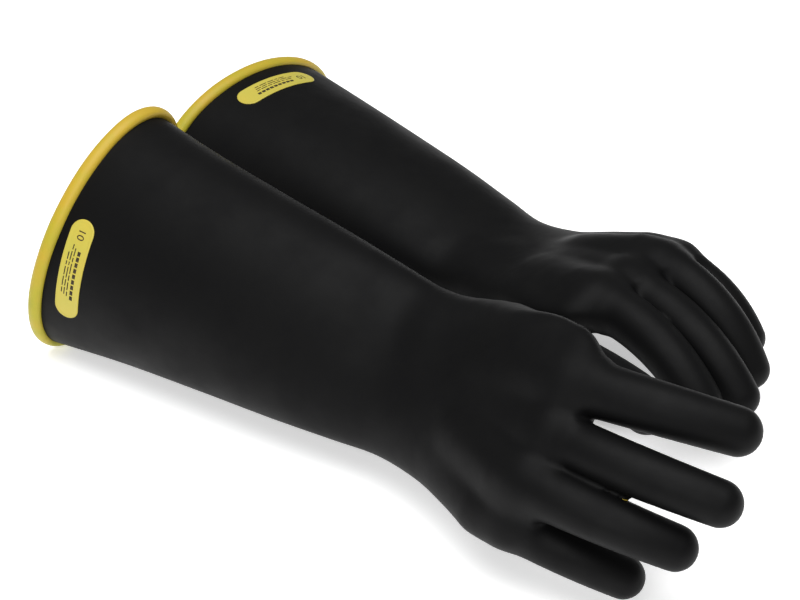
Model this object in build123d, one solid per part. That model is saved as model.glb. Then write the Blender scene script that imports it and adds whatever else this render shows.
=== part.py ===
"""A pair of class 2 rubber insulating gloves, size 10, each dipped in two bonded plies.

Each glove is modelled in its own frame: +X from the cuff to the fingers, +Z out of the back of
the hand, and +Y towards the thumb on the right glove. The left glove is the right one mirrored,
with its own finger curl. Both are then laid down on the plane Z = 0, the right one on its
little-finger side beside the left. Lengths are in millimetres and angles in degrees.
"""
import os
from math import cos, radians, sin

from build123d import *

# Plies
OUTER_PLY = 1.7
INNER_PLY = 1.1
WALL = OUTER_PLY + INNER_PLY

# Rolled bead round the mouth of the cuff: its width along the sleeve, and how far it stands out
BEAD_WIDTH = 9.4
BEAD_PROUD_OUTSIDE = 3.7
BEAD_PROUD_INSIDE = 0.4
# The mouth is cut a little shorter on the thumb side and on the back of the hand
MOUTH_NORMAL = Vector(1, -0.08, -0.10).normalized()

# Size label on the back of the cuff, and for each glove how far it lies from the cuff's edge
# and towards the thumb, and how it tilts about X
LABEL_LENGTH = 66.0
LABEL_WIDTH = 18.0
LABEL_THICKNESS = 0.5
RIGHT_LABEL = (29.0, -16.0, 14.0)
LEFT_LABEL = (35.0, 2.0, 0.0)

# Gauntlet, wrist and palm: station along X, centre Y and Z, half width, half height
SLEEVE = [
    (-12, 0, 0, 78.9, 47.8),
    (0, 0, 0, 77.3, 47.6),
    (57, 0, 0, 69.1, 46.1),
    (119, 0, 0, 62.4, 41.1),
    (177, 0, 0, 56.6, 33.8),
    (212, 0, -0.5, 52.4, 28.0),
    (239, 0, -1.2, 49.1, 24.0),
    (272, -0.8, 7.8, 48.4, 19.1),
    (301, 3, 19.5, 55.2, 17.8),
    (329, 3.6, 26.6, 58.6, 17.5),
    (348, 2.8, 32.0, 55.5, 16.9),
]
PALM_END = (357, 2.5, 33.5, 42.0, 11.0)

# Fingers: root centre, length from root to tip, root and tip radius
FINGERS = {
    "index": ((334, 33, 31.5), 111.5, 15.0, 12.5),
    "middle": ((342, 5.5, 31.5), 111.0, 14.1, 11.8),
    "ring": ((334, -20.5, 35.5), 107.5, 14.8, 11.7),
    "little": ((324, -43, 23), 92.0, 14.1, 11.4),
}
FINGER_SECTIONS = 7
# Each finger's sideways spread, its downward pitch at the root, and its curl from root to tip
RIGHT_FINGERS = {
    "index": (7.0, -15.0, 48.0),
    "middle": (3.0, -21.0, 43.0),
    "ring": (1.2, -22.5, 57.0),
    "little": (-2.2, -14.0, 54.0),
}
LEFT_FINGERS = {
    "index": (4.0, -15.0, 56.0),
    "middle": (4.0, -10.0, 52.5),
    "ring": (-0.5, -9.5, 64.0),
    "little": (-4.6, -16.0, 68.0),
}

# Thumb: centre points and radii from its root in the palm to its tip
THUMB = [
    (257, 23, -3.3, 21.5),
    (286, 39.4, -2.2, 18.3),
    (330, 40, -5.6, 15.8),
    (360, 37.4, -12.6, 14.0),
    (370, 34, -12, 13.0),
]

# How each glove lies: roll about X, pitch about Y, yaw about Z, and the centre of its cuff
RIGHT_POSE = (54.1, 2.4, 0.0)
LEFT_POSE = (-2.9, 1.9, -7.5)
LEFT_CUFF_FROM_RIGHT = (-47.2, 182.4)

# Longer and wider than a glove, for blocks that trim one
MOULD_SIZE = 460.0


def oval(x, y, z, half_width, half_height, normal):
    """An oval cross-section of the sleeve, square to normal."""
    plane = Plane(origin=(x, y, z), x_dir=Vector(-normal.Y, normal.X, 0), z_dir=normal)
    return plane * Ellipse(half_width, half_height)


def sleeve(inset):
    """The gauntlet, wrist and palm as one lofted form, drawn in by inset."""
    ovals = []
    for x, y, z, half_width, half_height in SLEEVE:
        normal = MOUTH_NORMAL if x <= 0 else Vector(1, 0, 0)
        ovals.append(oval(x, y, z, half_width - inset, half_height - inset, normal))
    x, y, z, half_width, half_height = PALM_END
    ovals.append(oval(x - inset, y, z, half_width - inset, half_height - inset, Vector(1, 0, 0)))
    return loft(ovals)


def finger_stations(finger, bend):
    """Centre, direction and radius of each circle along a finger that curls evenly."""
    root, length, root_radius, tip_radius = finger
    spread, pitch, curl = bend
    steps = FINGER_SECTIONS - 1
    step = (length - tip_radius) / steps
    side = radians(spread)
    point = Vector(*root)
    stations = []
    for i in range(FINGER_SECTIONS):
        angle = radians(pitch + curl * i / steps)
        heading = Vector(cos(angle) * cos(side), cos(angle) * sin(side), -sin(angle))
        radius = root_radius + (tip_radius - root_radius) * i / steps
        stations.append((point, heading, radius))
        point = point + heading * step
    return stations


def thumb_stations():
    """Centre, direction and radius of each circle along the thumb."""
    points = [Vector(x, y, z) for x, y, z, _ in THUMB]
    stations = []
    for i, point in enumerate(points):
        ahead = points[min(i + 1, len(points) - 1)]
        behind = points[max(i - 1, 0)]
        stations.append((point, (ahead - behind).normalized(), THUMB[i][3]))
    return stations


def dome(point, heading, radius):
    """A half ball that closes the end of a stall."""
    half = Sphere(radius, arc_size1=0, align=(Align.CENTER, Align.CENTER, Align.MIN))
    return Plane(origin=point, z_dir=heading) * half


def stall(stations, inset):
    """One finger or thumb stall: a loft through circles with round ends, drawn in by inset."""
    circles = [Plane(origin=p, z_dir=d) * Circle(r - inset) for p, d, r in stations]
    root, root_heading, root_radius = stations[0]
    tip, tip_heading, tip_radius = stations[-1]
    form = loft(circles) + dome(tip, tip_heading, tip_radius - inset)
    return form + dome(root, root_heading * -1, root_radius - inset)


def hand_form(inset, bends):
    """The solid that a glove's surface encloses, drawn in by inset, reaching past the cuff."""
    form = sleeve(inset) + stall(thumb_stations(), inset)
    for name, finger in FINGERS.items():
        form += stall(finger_stations(finger, bends[name]), inset)
    return form


def cuff_bead():
    """The rolled bead round the cuff's edge, a rounded ring along the oval of the mouth."""
    half_depth = (BEAD_PROUD_OUTSIDE + WALL + BEAD_PROUD_INSIDE) / 2
    grow = BEAD_PROUD_OUTSIDE - half_depth
    x, y, z, half_width, half_height = SLEEVE[1]
    mouth = oval(BEAD_WIDTH / 2, y, z, half_width + grow, half_height + grow, MOUTH_NORMAL)
    path = mouth.edge()
    start = Plane(origin=path @ 0, x_dir=MOUTH_NORMAL, z_dir=path % 0)
    return sweep(start * Ellipse(BEAD_WIDTH / 2, half_depth), path)


def label(from_edge, side_shift, tilt):
    """The size label: a thin rounded patch that follows the back of the cuff."""
    place = Pos(from_edge, side_shift, 0) * Rot(X=tilt) * Rot(Z=90)
    cutter = extrude(place * SlotOverall(LABEL_LENGTH, LABEL_WIDTH), MOULD_SIZE)
    return (sleeve(-LABEL_THICKNESS) & cutter) - sleeve(0)


def glove(bends, label_place):
    """One right-hand glove in its own frame, as a dict of its pieces."""
    block = Box(MOULD_SIZE, MOULD_SIZE, MOULD_SIZE, align=(Align.CENTER, Align.CENTER, Align.MAX))
    behind_bead = Plane(origin=(BEAD_WIDTH / 2, 0, 0), z_dir=MOUTH_NORMAL) * block
    bead = cuff_bead()
    between_plies = hand_form(OUTER_PLY, bends)
    return {
        "outer_shell": hand_form(0, bends) - between_plies - behind_bead - bead,
        "inner_liner": between_plies - hand_form(WALL, bends) - behind_bead - bead,
        "cuff_bead": bead,
        "label": label(*label_place),
    }


def lay_down(pieces, pose):
    """Turns a glove to the way it lies and sets its lowest point on Z = 0."""
    roll, pitch, yaw = pose
    turned = {n: Rot(Z=yaw) * Rot(Y=pitch) * Rot(X=roll) * s for n, s in pieces.items()}
    lowest = min(s.bounding_box().min.Z for s in turned.values())
    return {n: Pos(0, 0, -lowest) * s for n, s in turned.items()}


right = lay_down(glove(RIGHT_FINGERS, RIGHT_LABEL), RIGHT_POSE)
mirrored = {n: mirror(s, about=Plane.XZ) for n, s in glove(LEFT_FINGERS, LEFT_LABEL).items()}
left = {n: Pos(*LEFT_CUFF_FROM_RIGHT, 0) * s for n, s in lay_down(mirrored, LEFT_POSE).items()}
pair = {f"right_{n}": s for n, s in right.items()} | {f"left_{n}": s for n, s in left.items()}

# The origin is under the middle of the pair's box
boxes = [s.bounding_box() for s in pair.values()]
middle_x = (min(b.min.X for b in boxes) + max(b.max.X for b in boxes)) / 2
middle_y = (min(b.min.Y for b in boxes) + max(b.max.Y for b in boxes)) / 2

os.makedirs("parts", exist_ok=True)
for name, shape in pair.items():
    export_step(Pos(-middle_x, -middle_y, 0) * shape, f"parts/{name}.step")
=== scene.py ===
"""A pair of rubber insulating gloves: black outer ply, yellow liner, rolled bead and size label.

Each glove's surface is worked out in its own frame, in millimetres: +X from the cuff to the
fingers, +Z out of the back of the hand and +Y towards the thumb. It is then placed where the
CAD model's cuff bead lies, in metres.
"""
import math

import bmesh
import bpy
import numpy as np
from mathutils import Matrix, Vector


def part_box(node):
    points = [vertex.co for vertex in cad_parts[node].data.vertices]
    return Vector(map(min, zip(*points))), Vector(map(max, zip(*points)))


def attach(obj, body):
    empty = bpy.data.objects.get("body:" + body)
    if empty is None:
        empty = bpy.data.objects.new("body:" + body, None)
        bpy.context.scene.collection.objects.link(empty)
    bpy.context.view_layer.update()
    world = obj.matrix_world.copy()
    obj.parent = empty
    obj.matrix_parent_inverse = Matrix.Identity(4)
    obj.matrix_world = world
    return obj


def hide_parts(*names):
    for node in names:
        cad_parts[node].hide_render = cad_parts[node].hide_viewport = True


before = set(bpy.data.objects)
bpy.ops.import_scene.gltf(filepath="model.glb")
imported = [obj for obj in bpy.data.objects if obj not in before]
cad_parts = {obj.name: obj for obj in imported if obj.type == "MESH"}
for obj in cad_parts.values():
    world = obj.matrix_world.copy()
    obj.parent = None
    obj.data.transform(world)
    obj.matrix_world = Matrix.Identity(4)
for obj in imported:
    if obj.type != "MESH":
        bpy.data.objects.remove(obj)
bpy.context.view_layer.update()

MM = 0.001

# ---------------------------------------------------------------- dimensions, as in the CAD
OUTER_PLY = 1.7
INNER_PLY = 1.1
WALL = OUTER_PLY + INNER_PLY
BEAD_WIDTH = 9.4
BEAD_PROUD_OUTSIDE = 3.7
BEAD_PROUD_INSIDE = 0.4
MOUTH_NORMAL = np.array((1.0, -0.08, -0.10)) / math.sqrt(1 + 0.08**2 + 0.10**2)

LABEL_LENGTH = 66.0
LABEL_WIDTH = 18.0
LABEL_THICKNESS = 0.5
# For each glove: how far its label lies from the cuff's edge and towards the thumb, and its tilt
LABEL_PLACES = {"right": (29.0, -16.0, 14.0), "left": (35.0, 2.0, 0.0)}
NUMBER_AT = 23.0
NUMBER_SIZE = 7.6

# Station along X, centre Y and Z, half width, half height, and how square the oval is
SLEEVE = np.array([
    (-12, 0, 0, 78.9, 47.8, 2.0),
    (0, 0, 0, 77.3, 47.6, 2.0),
    (57, 0, 0, 69.1, 46.1, 2.0),
    (119, 0, 0, 62.4, 41.1, 2.0),
    (177, 0, 0, 56.6, 33.8, 2.05),
    (212, 0, -0.5, 52.4, 28.0, 2.1),
    (239, 0, -1.2, 49.1, 24.0, 2.2),
    (272, -0.8, 7.8, 48.4, 19.1, 2.3),
    (301, 3, 19.5, 55.2, 17.8, 2.3),
    (329, 3.6, 26.6, 58.6, 17.5, 2.3),
    (348, 2.8, 32.0, 55.5, 16.9, 2.3),
    (357, 2.5, 33.5, 48.0, 12.0, 2.3),
])

# Root centre, length from root to tip, root and tip radius
FINGERS = {
    "index": ((334, 33, 31.5), 111.5, 15.0, 12.5),
    "middle": ((342, 5.5, 31.5), 111.0, 14.1, 11.8),
    "ring": ((334, -20.5, 35.5), 107.5, 14.8, 11.7),
    "little": ((324, -43, 23), 92.0, 14.1, 11.4),
}
# Sideways spread, downward pitch at the root, and curl from root to tip, in degrees
FINGER_BENDS = {
    "right": {
        "index": (7.0, -15.0, 48.0),
        "middle": (3.0, -21.0, 43.0),
        "ring": (1.2, -22.5, 57.0),
        "little": (-2.2, -14.0, 54.0),
    },
    "left": {
        "index": (4.0, -15.0, 56.0),
        "middle": (4.0, -10.0, 52.5),
        "ring": (-0.5, -9.5, 64.0),
        "little": (-4.6, -16.0, 68.0),
    },
}
THUMB = np.array([
    (257, 23, -3.3, 21.5),
    (286, 39.4, -2.2, 18.3),
    (330, 40, -5.6, 15.8),
    (360, 37.4, -12.6, 14.0),
    (370, 34, -12, 13.0),
])
# Roll about X, pitch about Y and yaw about Z, in degrees
POSES = {"right": (54.1, 2.4, 0.0), "left": (-2.9, 1.9, -7.5)}

# Behind each finger's root its form runs back, down and inwards into the hand, a little thinner
KNUCKLE_BACK = 34.0
KNUCKLE_DROP = 13.0
KNUCKLE_GATHER = 0.72
KNUCKLE_TAPER = 3.0

# Width over which two forms flow into each other
KNUCKLE_BLEND = 11.0
WEB_BLEND = 3.0
THUMB_BLEND = 16.0
GRID = 2.5


# ---------------------------------------------------------------- the glove's form
def smooth_columns(x, table):
    """Every column of table after the first, at x, along smooth curves through its rows."""
    xs, ys = table[:, 0], table[:, 1:]
    slopes = np.gradient(ys, xs, axis=0)
    i = np.clip(np.searchsorted(xs, x) - 1, 0, len(xs) - 2)
    width = (xs[i + 1] - xs[i])[:, None]
    t = np.clip((x - xs[i])[:, None] / width, 0, 1)
    return (
        (2 * t**3 - 3 * t**2 + 1) * ys[i]
        + (t**3 - 2 * t**2 + t) * width * slopes[i]
        + (3 * t**2 - 2 * t**3) * ys[i + 1]
        + (t**3 - t**2) * width * slopes[i + 1]
    ).T


def sleeve_distance(points):
    """Signed distance, about, from the gauntlet, wrist and palm."""
    x = points[:, 0]
    cy, cz, half_width, half_height, power = smooth_columns(x, SLEEVE)
    u = np.abs(points[:, 1] - cy) / half_width
    v = np.abs(points[:, 2] - cz) / half_height
    r = np.maximum((u**power + v**power) ** (1 / power), 1e-6)
    steepness = np.hypot((u / r) ** (power - 1) / half_width, (v / r) ** (power - 1) / half_height)
    side = (r - 1) / steepness
    beyond = np.maximum(x - SLEEVE[-1, 0], 0)
    return np.where(beyond > 0, np.hypot(np.maximum(side, 0), beyond), side)


def chain_distance(points, chain):
    """Distance from a chain of balls, each row (x, y, z, radius), joined by tapering tubes."""
    nearest = np.full(len(points), 1e9)
    for a, b in zip(chain[:-1], chain[1:]):
        along = b[:3] - a[:3]
        t = np.clip((points - a[:3]) @ along / (along @ along), 0, 1)
        gap = points - a[:3] - t[:, None] * along
        radius = a[3] + t * (b[3] - a[3])
        nearest = np.minimum(nearest, np.sqrt((gap**2).sum(1)) - radius)
    return nearest


def finger_chain(finger, bend, steps=18):
    """The balls along a finger that curls evenly, with its knuckle in the hand first."""
    root, length, root_radius, tip_radius = finger
    spread, pitch, curl = bend
    step = (length - tip_radius) / steps
    side = math.radians(spread)
    point = np.array(root, float)
    buried = point * (1, KNUCKLE_GATHER, 1) - (KNUCKLE_BACK, 0, KNUCKLE_DROP)
    chain = [(*buried, root_radius - KNUCKLE_TAPER)]
    for i in range(steps + 1):
        chain.append((*point, root_radius + (tip_radius - root_radius) * i / steps))
        angle = math.radians(pitch + curl * (i + 0.5) / steps)
        heading = (math.cos(angle) * math.cos(side), math.cos(angle) * math.sin(side), -math.sin(angle))
        point = point + step * np.array(heading)
    return np.array(chain)


def thumb_chain(steps=20):
    """The balls along the thumb, on a smooth curve through its points."""
    place = np.arange(len(THUMB), dtype=float)
    table = np.column_stack((place, THUMB))
    return smooth_columns(np.linspace(0, place[-1], steps), table).T


def blend(a, b, width):
    """The nearer of two distances, rounded where they are about equal."""
    h = np.clip(0.5 + 0.5 * (b - a) / width, 0, 1)
    return b + (a - b) * h - width * h * (1 - h)


def glove_distance(points, bends):
    """Signed distance, about, from a right-hand glove's outer surface."""
    distance = sleeve_distance(points)
    hand = points[:, 0] > THUMB[0, 0] - 60
    near = points[hand]
    fingers = None
    for name, finger in FINGERS.items():
        one = chain_distance(near, finger_chain(finger, bends[name]))
        fingers = one if fingers is None else blend(fingers, one, WEB_BLEND)
    palm = blend(distance[hand], chain_distance(near, thumb_chain()), THUMB_BLEND)
    distance[hand] = blend(palm, fingers, KNUCKLE_BLEND)
    return distance


def gradient(points, field, reach=0.25):
    """Slope of field at points."""
    slope = np.empty_like(points)
    for axis in range(3):
        step = np.zeros(3)
        step[axis] = reach
        slope[:, axis] = (field(points + step) - field(points - step)) / (2 * reach)
    return slope


def settle(points, field, level=0.0, rounds=3):
    """Moves points onto the surface where field equals level."""
    for _ in range(rounds):
        slope = gradient(points, field)
        size = np.maximum((slope**2).sum(1), 0.05)
        points = points - ((field(points) - level) / size)[:, None] * slope
    return points


# ---------------------------------------------------------------- from form to mesh
def surface_net(values, low, size):
    """Vertices and quads of the zero surface of values on a regular grid."""
    inside = values < 0
    cells = tuple(n - 1 for n in values.shape)
    total = np.zeros(cells + (3,))
    count = np.zeros(cells)
    quads_at = []
    for axis in range(3):
        near = tuple(slice(None, -1) if a == axis else slice(None) for a in range(3))
        far = tuple(slice(1, None) if a == axis else slice(None) for a in range(3))
        crossed = inside[near] != inside[far]
        index = np.argwhere(crossed)
        v0, v1 = values[near][crossed], values[far][crossed]
        point = index.astype(float)
        point[:, axis] += v0 / (v0 - v1)
        others = [a for a in range(3) if a != axis]
        for da in (0, 1):
            for db in (0, 1):
                cell = index.copy()
                cell[:, others[0]] -= da
                cell[:, others[1]] -= db
                good = ((cell >= 0) & (cell < cells)).all(1)
                spot = tuple(cell[good].T)
                np.add.at(total, spot, point[good])
                np.add.at(count, spot, 1)
        quads_at.append((axis, others, index, inside[near][crossed]))
    active = count > 0
    number = np.cumsum(active).reshape(cells) - 1
    verts = total[active] / count[active][:, None] * size + low
    quads = []
    for axis, (p, q), index, from_inside in quads_at:
        corners = []
        for dp, dq in ((0, 0), (1, 0), (1, 1), (0, 1)):
            cell = index.copy()
            cell[:, p] -= dp
            cell[:, q] -= dq
            corners.append(cell)
        good = np.all([((c >= 0) & (c < cells)).all(1) for c in corners], axis=0)
        quad = np.stack([number[tuple(c[good].T)] for c in corners], 1)
        flip = from_inside[good] == (axis == 1)
        quad[flip] = quad[flip][:, ::-1]
        quads.append(quad)
    return verts, np.concatenate(quads)


def relax(verts, quads, field, rounds=6):
    """Evens out the quads while they stay on the surface."""
    edges = np.concatenate([quads[:, [i, (i + 1) % 4]] for i in range(4)])
    for _ in range(rounds):
        total = np.zeros_like(verts)
        count = np.zeros(len(verts))
        for a, b in ((0, 1), (1, 0)):
            np.add.at(total, edges[:, a], verts[edges[:, b]])
            np.add.at(count, edges[:, a], 1)
        middle = total / count[:, None]
        inner = (verts[:, 0] > SLEEVE[0, 0] + GRID * 2)[:, None]
        verts = np.where(inner, verts + 0.6 * (middle - verts), verts)
        verts = settle(verts, field, rounds=1)
    return verts


def glove_surface(bends):
    """Outer surface of a right-hand glove: vertices, outward normals and quads."""
    def field(points):
        return glove_distance(points, bends)

    low = np.array((SLEEVE[0, 0], -84.0, -58.0))
    counts = (int(470 / GRID), int(168 / GRID), int(124 / GRID))
    axes = [low[a] + GRID * np.arange(counts[a]) for a in range(3)]
    grid = np.stack(np.meshgrid(*axes, indexing="ij"), -1)
    values = field(grid.reshape(-1, 3)).reshape(counts)
    verts, quads = surface_net(values, low, GRID)
    verts = relax(settle(verts, field), quads, field)
    slope = gradient(verts, field)
    return verts, slope / np.linalg.norm(slope, axis=1)[:, None], quads


# ---------------------------------------------------------------- placing pieces
def turn(side):
    """Rotation of a glove from its own frame to the way it lies."""
    roll, pitch, yaw = (math.radians(angle) for angle in POSES[side])
    turned = Matrix.Rotation(yaw, 3, "Z") @ Matrix.Rotation(pitch, 3, "Y") @ Matrix.Rotation(roll, 3, "X")
    return np.array(turned)


def bead_centre(side):
    """Middle of a glove's cuff bead in the CAD, in millimetres."""
    low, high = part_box(f"{side}_cuff_bead")
    return np.array((low + high) / 2) / MM


def place(points, side):
    """Points from a glove's own frame, in millimetres, to the row frame, in metres."""
    points = np.array(points, float)
    points[:, 0] -= BEAD_WIDTH / 2
    if side == "left":
        points[:, 1] *= -1
    return (points @ turn(side).T + bead_centre(side)) * MM


def face_outward(mesh):
    """Turns over all faces of a closed mesh that has them facing inwards."""
    form = bmesh.new()
    form.from_mesh(mesh)
    if form.calc_volume(signed=True) < 0:
        bmesh.ops.reverse_faces(form, faces=form.faces)
        form.to_mesh(mesh)
    form.free()


def add_piece(name, side, points, faces, material, replaced=(), slot=None):
    """A mesh piece of one glove, given in the glove's own frame."""
    mesh = bpy.data.meshes.new(name)
    mesh.from_pydata(place(points, side).tolist(), [], [list(face) for face in faces])
    mesh.validate()
    face_outward(mesh)
    mesh.polygons.foreach_set("use_smooth", [True] * len(mesh.polygons))
    mesh.materials.append(material)
    piece = bpy.data.objects.new(name, mesh)
    bpy.context.collection.objects.link(piece)
    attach(piece, f"{side}_glove")
    if replaced:
        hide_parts(*replaced)
    return piece


# ---------------------------------------------------------------- pieces
def trimmed(verts, normals, quads):
    """The surface cut off square at the middle of the bead, as (verts, normals, faces, rim)."""
    mesh = bmesh.new()
    layers = [mesh.verts.layers.float.new(f"n{axis}") for axis in range(3)]
    made = [mesh.verts.new(v) for v in verts]
    for vert, normal in zip(made, normals):
        for layer, value in zip(layers, normal):
            vert[layer] = value
    for quad in quads:
        mesh.faces.new([made[i] for i in quad])
    bmesh.ops.bisect_plane(
        mesh,
        geom=mesh.verts[:] + mesh.edges[:] + mesh.faces[:],
        plane_co=(BEAD_WIDTH / 2, 0, 0),
        plane_no=MOUTH_NORMAL,
        clear_inner=True,
    )
    mesh.verts.index_update()
    points = np.array([v.co for v in mesh.verts])
    outward = np.array([[v[layer] for layer in layers] for v in mesh.verts])
    outward /= np.linalg.norm(outward, axis=1)[:, None]
    faces = [[v.index for v in face.verts] for face in mesh.faces]
    rim = []
    for edge in mesh.edges:
        if edge.is_boundary:
            loop = edge.link_loops[0]
            rim.append((loop.vert.index, loop.link_loop_next.vert.index))
    mesh.free()
    return points, outward, faces, rim


def ply(surface, outer_depth, inner_depth):
    """A closed ply between two depths under the surface."""
    points, outward, faces, rim = surface
    n = len(points)
    both = np.concatenate([points - outward * outer_depth, points - outward * inner_depth])
    inner = [[i + n for i in face[::-1]] for face in faces]
    edge = [(b, a, a + n, b + n) for a, b in rim]
    return both, faces + inner + edge


def mouth_oval(grow, count):
    """Points round the mouth in its slanted plane, and the direction outwards at each."""
    across = np.array((-MOUTH_NORMAL[1], MOUTH_NORMAL[0], 0))
    across /= np.linalg.norm(across)
    upward = np.cross(MOUTH_NORMAL, across)
    half_width, half_height = SLEEVE[1, 3] + grow, SLEEVE[1, 4] + grow
    angles = np.linspace(0, 2 * math.pi, count, endpoint=False)[:, None]
    centre = np.array((BEAD_WIDTH / 2, 0, 0))
    points = centre + half_width * np.cos(angles) * across + half_height * np.sin(angles) * upward
    out = np.cos(angles) / half_width * across + np.sin(angles) / half_height * upward
    return points, out / np.linalg.norm(out, axis=1)[:, None]


def tube_faces(rings, sides):
    """Quads of a closed tube whose points come ring by ring."""
    faces = []
    for i in range(rings):
        for j in range(sides):
            k, m = (i + 1) % rings, (j + 1) % sides
            faces.append((i * sides + j, i * sides + m, k * sides + m, k * sides + j))
    return faces


def bead(rings=240, sides=28):
    """The rolled bead round the mouth, a little uneven, as rubber rolled by hand is."""
    half_depth = (BEAD_PROUD_OUTSIDE + WALL + BEAD_PROUD_INSIDE) / 2
    centres, out = mouth_oval(BEAD_PROUD_OUTSIDE - half_depth, rings)
    points = []
    for i, (centre, direction) in enumerate(zip(centres, out)):
        around = 2 * math.pi * i / rings
        uneven = 1 + 0.012 * math.sin(5 * around + 0.7) + 0.009 * math.sin(11 * around + 2.1)
        for j in range(sides):
            a = 2 * math.pi * j / sides
            offset = direction * math.cos(a) * half_depth + MOUTH_NORMAL * math.sin(a) * BEAD_WIDTH / 2
            points.append(centre + offset * uneven)
    return np.array(points), tube_faces(rings, sides)


def on_label(flat, height, side):
    """Points of the label's flat layout, along and across it, at a height above the cuff."""
    flat = np.array(flat, float)
    from_edge, side_shift, tilt = LABEL_PLACES[side]
    tilt = math.radians(tilt)
    along = np.array((0, math.cos(tilt), math.sin(tilt)))
    outward = np.array((0, -math.sin(tilt), math.cos(tilt)))
    centre = np.array((from_edge, side_shift, 0)) + SLEEVE[1, 4] * outward
    start = centre + flat[:, :1] * along + flat[:, 1:] * np.array((1.0, 0, 0))
    height = np.broadcast_to(np.asarray(height, float), len(flat))
    return settle(start, sleeve_distance, level=height, rounds=6)


def stadium(inset, per_end=24, per_side=26):
    """Outline of the label drawn in by inset, as (along, across) points."""
    radius = LABEL_WIDTH / 2 - inset
    straight = LABEL_LENGTH / 2 - LABEL_WIDTH / 2
    outline = []
    for end, first_angle in ((1, -90), (-1, 90)):
        for i in range(per_end):
            angle = math.radians(first_angle + 180 * i / per_end)
            outline.append((end * straight + radius * math.cos(angle), radius * math.sin(angle)))
        for i in range(per_side):
            outline.append((end * straight * (1 - 2 * i / per_side), end * radius))
    return outline


def label(side, per_end=24):
    """The label patch: flat underneath, with a rounded edge and a slightly raised border."""
    top = LABEL_THICKNESS
    sections = [(0.0, -0.05), (0.0, 0.2), (0.25, top), (1.1, top + 0.02)]
    sections += [(inset, top - 0.12) for inset in (1.5, 3.0, 4.5, 6.0, 7.5)]
    rings = [on_label(stadium(inset, per_end), height, side) for inset, height in sections]
    count = len(rings[0])
    faces = [tuple(range(count))[::-1]]
    for i in range(len(rings) - 1):
        for j in range(count):
            k = (j + 1) % count
            faces.append((i * count + j, i * count + k, (i + 1) * count + k, (i + 1) * count + j))
    # The middle is closed by strips across the label, from each point to the one opposite it
    inner = (len(rings) - 1) * count
    for j in range(per_end // 2, per_end // 2 + count // 2):
        strip = [(per_end - j) % count, j % count, (j + 1) % count, (per_end - j - 1) % count]
        faces.append(tuple(inner + v for v in dict.fromkeys(strip)))
    return np.concatenate(rings), faces


def add_print(name, side, material):
    """The label's generic print: the size number and plain bars, as thin raised ink."""
    flats, faces = [], []

    # The left glove is mirrored, so its print is laid out mirrored too and reads rightly
    reading = -1 if side == "left" else 1

    def bar(along, across, length, width):
        steps = max(1, round(length / 2))
        first = len(flats)
        for i in range(steps + 1):
            for edge in (-0.5, 0.5):
                distance_along = along - length / 2 + length * i / steps
                flats.append((reading * distance_along, across + edge * width))
        for i in range(steps):
            a = first + 2 * i
            faces.append((a, a + 2, a + 3, a + 1))

    text = bpy.data.curves.new(name + "_number", "FONT")
    text.body = "10"
    text.size = NUMBER_SIZE
    text.align_x = "CENTER"
    text.align_y = "CENTER"
    holder = bpy.data.objects.new(name + "_number", text)
    bpy.context.collection.objects.link(holder)
    bpy.context.view_layer.update()
    number = bpy.data.meshes.new_from_object(holder)
    digits = [(reading * (NUMBER_AT - v.co.x), v.co.y) for v in number.vertices]
    base = len(flats)
    flats.extend(digits)
    faces.extend([[base + i for i in poly.vertices][::-1] for poly in number.polygons])
    bpy.data.objects.remove(holder)
    bpy.data.meshes.remove(number)

    for i in range(9):
        bar(11.5 - 3.6 * i, 3.0, 2.7, 2.2)
    for row, (start, words) in enumerate((
        (14.0, (5.0, 2.6, 6.4, 3.4, 5.0, 3.0)),
        (16.0, (3.4, 5.6, 2.2, 6.8, 4.2, 4.4)),
        (10.5, (4.6, 2.4, 5.2, 6.0, 3.2)),
    )):
        along = start
        for word in words:
            bar(along - word / 2, -0.4 - 2.1 * row, word, 0.75)
            along -= word + 1.1
    low = on_label(flats, LABEL_THICKNESS - 0.14, side)
    high = on_label(flats, LABEL_THICKNESS - 0.05, side)
    n = len(flats)
    borders = {}
    for face in faces:
        for a, b in zip(face, list(face[1:]) + [face[0]]):
            borders[(a, b)] = None
    walls = [(b, a, a + n, b + n) for a, b in borders if (b, a) not in borders]
    points = np.concatenate([high, low])
    under = [[i + n for i in face][::-1] for face in faces]
    return add_piece(name, side, points, list(faces) + walls + under, material, slot="label_print")


# ---------------------------------------------------------------- materials
def new_material(name):
    """A node material, with its nodes and links."""
    material = bpy.data.materials.new(name)
    material.use_nodes = True
    return material, material.node_tree.nodes, material.node_tree.links


def noise(nodes, links, coordinates, scale, detail=4.0, roughness=0.5):
    """A noise texture in object space; scale is in features per metre."""
    node = nodes.new("ShaderNodeTexNoise")
    node.inputs["Scale"].default_value = scale
    node.inputs["Detail"].default_value = detail
    node.inputs["Roughness"].default_value = roughness
    links.new(coordinates, node.inputs["Vector"])
    return node.outputs["Fac"]


def ramp(nodes, links, value, *stops):
    """A colour ramp from (position, colour) stops."""
    node = nodes.new("ShaderNodeValToRGB")
    elements = node.color_ramp.elements
    while len(elements) < len(stops):
        elements.new(0.5)
    for element, (position, colour) in zip(elements, stops):
        element.position = position
        element.color = (*colour, 1)
    links.new(value, node.inputs["Fac"])
    return node.outputs["Color"]


def spread(nodes, links, value, low, high):
    """Noise between 0.3 and 0.7 stretched to run from low to high."""
    node = nodes.new("ShaderNodeMapRange")
    node.inputs["From Min"].default_value = 0.3
    node.inputs["From Max"].default_value = 0.7
    node.inputs["To Min"].default_value = low
    node.inputs["To Max"].default_value = high
    links.new(value, node.inputs["Value"])
    return node.outputs["Result"]


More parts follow.
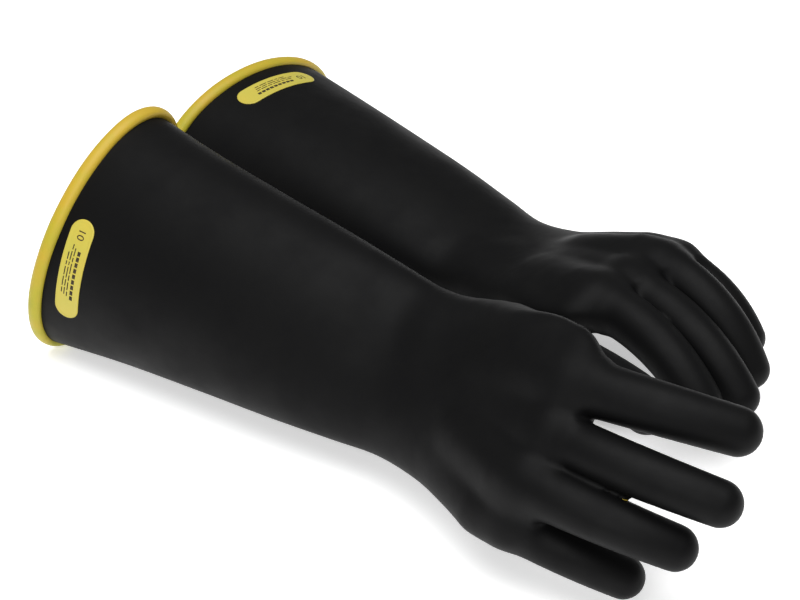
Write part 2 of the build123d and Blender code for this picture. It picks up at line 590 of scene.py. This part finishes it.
def bumps(nodes, links, shader, *layers):
    """Stacks bump layers, each (height, strength, distance in metres)."""
    previous = None
    for height, strength, distance in layers:
        node = nodes.new("ShaderNodeBump")
        node.inputs["Strength"].default_value = strength
        node.inputs["Distance"].default_value = distance
        links.new(height, node.inputs["Height"])
        if previous:
            links.new(previous, node.inputs["Normal"])
        previous = node.outputs["Normal"]
    links.new(previous, shader.inputs["Normal"])


def rubber(name, stops, roughness, specular, cloud_bump=0.06, skin_bump=0.25, painted_light_rise=0.0):
    """Dipped rubber: mottled colour, uneven sheen and a fine skin texture.

    Painted light and shade: the last argument is how much further along the colour stops the rubber is
    0.1 m higher up, so higher rubber is painted lighter and warmer and lower rubber, nearer the floor,
    darker and greener.
    """
    material, nodes, links = new_material(name)
    shader = nodes["Principled BSDF"]
    where = nodes.new("ShaderNodeTexCoord").outputs["Object"]
    cloudy = noise(nodes, links, where, 38, 5, 0.6)
    fine = noise(nodes, links, where, 900, 3, 0.55)
    skin = noise(nodes, links, where, 2600, 2, 0.5)
    tone = cloudy
    # Painted light and shade: the colour is pushed towards the lighter stops higher up and the darker
    # stops lower down
    if painted_light_rise:
        split = nodes.new("ShaderNodeSeparateXYZ")
        links.new(where, split.inputs["Vector"])
        painted_height_light = nodes.new("ShaderNodeMath")
        painted_height_light.operation = "MULTIPLY_ADD"
        painted_height_light.inputs[1].default_value = painted_light_rise / 0.1
        links.new(split.outputs["Z"], painted_height_light.inputs[0])
        links.new(cloudy, painted_height_light.inputs[2])
        tone = painted_height_light.outputs["Value"]
    links.new(ramp(nodes, links, tone, *stops), shader.inputs["Base Color"])
    links.new(spread(nodes, links, cloudy, *roughness), shader.inputs["Roughness"])
    shader.inputs["Specular IOR Level"].default_value = specular
    layers = (cloudy, cloud_bump, 0.002), (fine, skin_bump, 0.0002), (skin, skin_bump, 0.00006)
    bumps(nodes, links, shader, *layers)
    return material


black = rubber(
    "black_rubber",
    ((0.35, (0.0026, 0.0026, 0.0028)), (0.65, (0.0040, 0.0040, 0.0041))),
    roughness=(0.58, 0.46), specular=0.09,
)
# The yellow rubber has painted light and shade: lighter higher up, darker and greener near the floor
yellow = rubber(
    "yellow_rubber",
    ((0.36, (0.31, 0.31, 0.018)), (0.55, (0.39, 0.34, 0.022)), (0.80, (0.47, 0.32, 0.028))),
    roughness=(0.52, 0.40), specular=0.3, painted_light_rise=0.22,
)
patch = rubber(
    "label_yellow",
    ((0.35, (0.46, 0.41, 0.065)), (0.65, (0.51, 0.41, 0.060))),
    roughness=(0.45, 0.36), specular=0.3, cloud_bump=0.03, skin_bump=0.12,
)
ink = rubber(
    "label_ink",
    ((0.4, (0.020, 0.014, 0.008)), (0.62, (0.05, 0.032, 0.012))),
    roughness=(0.6, 0.5), specular=0.25, cloud_bump=0.0, skin_bump=0.1,
)

# ---------------------------------------------------------------- making the gloves
for side in ("left", "right"):
    surface = trimmed(*glove_surface(FINGER_BENDS[side]))
    add_piece(f"{side}_outer_shell_skin", side, *ply(surface, 0.0, OUTER_PLY), black,
              [f"{side}_outer_shell"], "black_rubber")
    add_piece(f"{side}_inner_liner_skin", side, *ply(surface, OUTER_PLY, WALL), yellow,
              [f"{side}_inner_liner"], "yellow_rubber")
    add_piece(f"{side}_rolled_bead", side, *bead(), yellow, [f"{side}_cuff_bead"], "yellow_rubber")
    add_piece(f"{side}_size_label", side, *label(side), patch, [f"{side}_label"], "label_print")
    add_print(f"{side}_label_marks", side, ink)

# ---------------------------------------------------------------- floor, light and camera
FLOOR_REACH = 6.0
FLOOR_GLOW = 0.45
# Azimuth, elevation and roll in degrees, and the distance in metres
CAMERA_ANGLES = (38.0, 32.2, -0.4)
CAMERA_DISTANCE = 1.0714
FIELD_OF_VIEW = 25.32
# The point looked at: along and across from the right cuff's middle, and above the floor, in mm
AIM_FROM_CUFF = (171.3, 79.0)
AIM_HEIGHT = 43.0


def add_floor():
    """A large pale floor under the gloves."""
    mesh = bpy.data.meshes.new("floor")
    reach = FLOOR_REACH
    corners = [(-reach, -reach, 0), (reach, -reach, 0), (reach, reach, 0), (-reach, reach, 0)]
    mesh.from_pydata(corners, [], [(0, 1, 2, 3)])
    floor = bpy.data.objects.new("floor", mesh)
    bpy.context.collection.objects.link(floor)
    material, nodes, links = new_material("pale_floor")
    shader = nodes["Principled BSDF"]
    shader.inputs["Base Color"].default_value = (0.93, 0.93, 0.93, 1)
    shader.inputs["Roughness"].default_value = 0.9
    shader.inputs["Specular IOR Level"].default_value = 0.1
    shader.inputs["Emission Color"].default_value = (1, 1, 1, 1)
    shader.inputs["Emission Strength"].default_value = FLOOR_GLOW
    mesh.materials.append(material)


def add_softbox(name, location, aim, size, power):
    """A large square area light aimed at a point."""
    light = bpy.data.lights.new(name, "AREA")
    light.shape = "RECTANGLE"
    light.size, light.size_y = size
    light.energy = power
    lamp = bpy.data.objects.new(name, light)
    lamp.location = location
    lamp.rotation_euler = (Vector(aim) - Vector(location)).to_track_quat("-Z", "Y").to_euler()
    bpy.context.collection.objects.link(lamp)


def add_camera():
    """The camera, placed from the right glove's cuff."""
    azimuth, elevation, roll = (math.radians(angle) for angle in CAMERA_ANGLES)
    field_of_view = math.radians(FIELD_OF_VIEW)
    cuff = bead_centre("right") - turn("right") @ np.array((BEAD_WIDTH / 2, 0, 0))
    target = Vector((cuff[0] + AIM_FROM_CUFF[0], cuff[1] + AIM_FROM_CUFF[1], AIM_HEIGHT)) * MM
    back = Vector((
        math.sin(azimuth) * math.cos(elevation),
        -math.cos(azimuth) * math.cos(elevation),
        math.sin(elevation),
    ))
    data = bpy.data.cameras.new("camera")
    data.sensor_fit = "HORIZONTAL"
    data.lens = data.sensor_width / 2 / math.tan(field_of_view / 2)
    data.clip_start, data.clip_end = 0.01, 50
    camera = bpy.data.objects.new("camera", data)
    camera.rotation_mode = "QUATERNION"
    camera.location = target + back * CAMERA_DISTANCE
    level = (-back).to_track_quat("-Z", "Y")
    camera.rotation_quaternion = level @ Matrix.Rotation(roll, 3, "Z").to_quaternion()
    bpy.context.collection.objects.link(camera)
    bpy.context.scene.camera = camera


def add_world(strength):
    """A plain white surround."""
    world = bpy.data.worlds.new("surround")
    world.use_nodes = True
    background = world.node_tree.nodes["Background"]
    background.inputs["Color"].default_value = (1, 1, 1, 1)
    background.inputs["Strength"].default_value = strength
    bpy.context.scene.world = world


add_floor()
add_world(0.22)
add_softbox("top_softbox", (0.2, -0.3, 2.3), (0, 0, 0.05), (2.4, 2.4), 70)
add_softbox("finger_light", (0.7, -2.2, 1.5), (0.1, 0, 0.05), (1.1, 1.1), 22)
add_camera()
bpy.context.scene.view_settings.view_transform = "Standard"
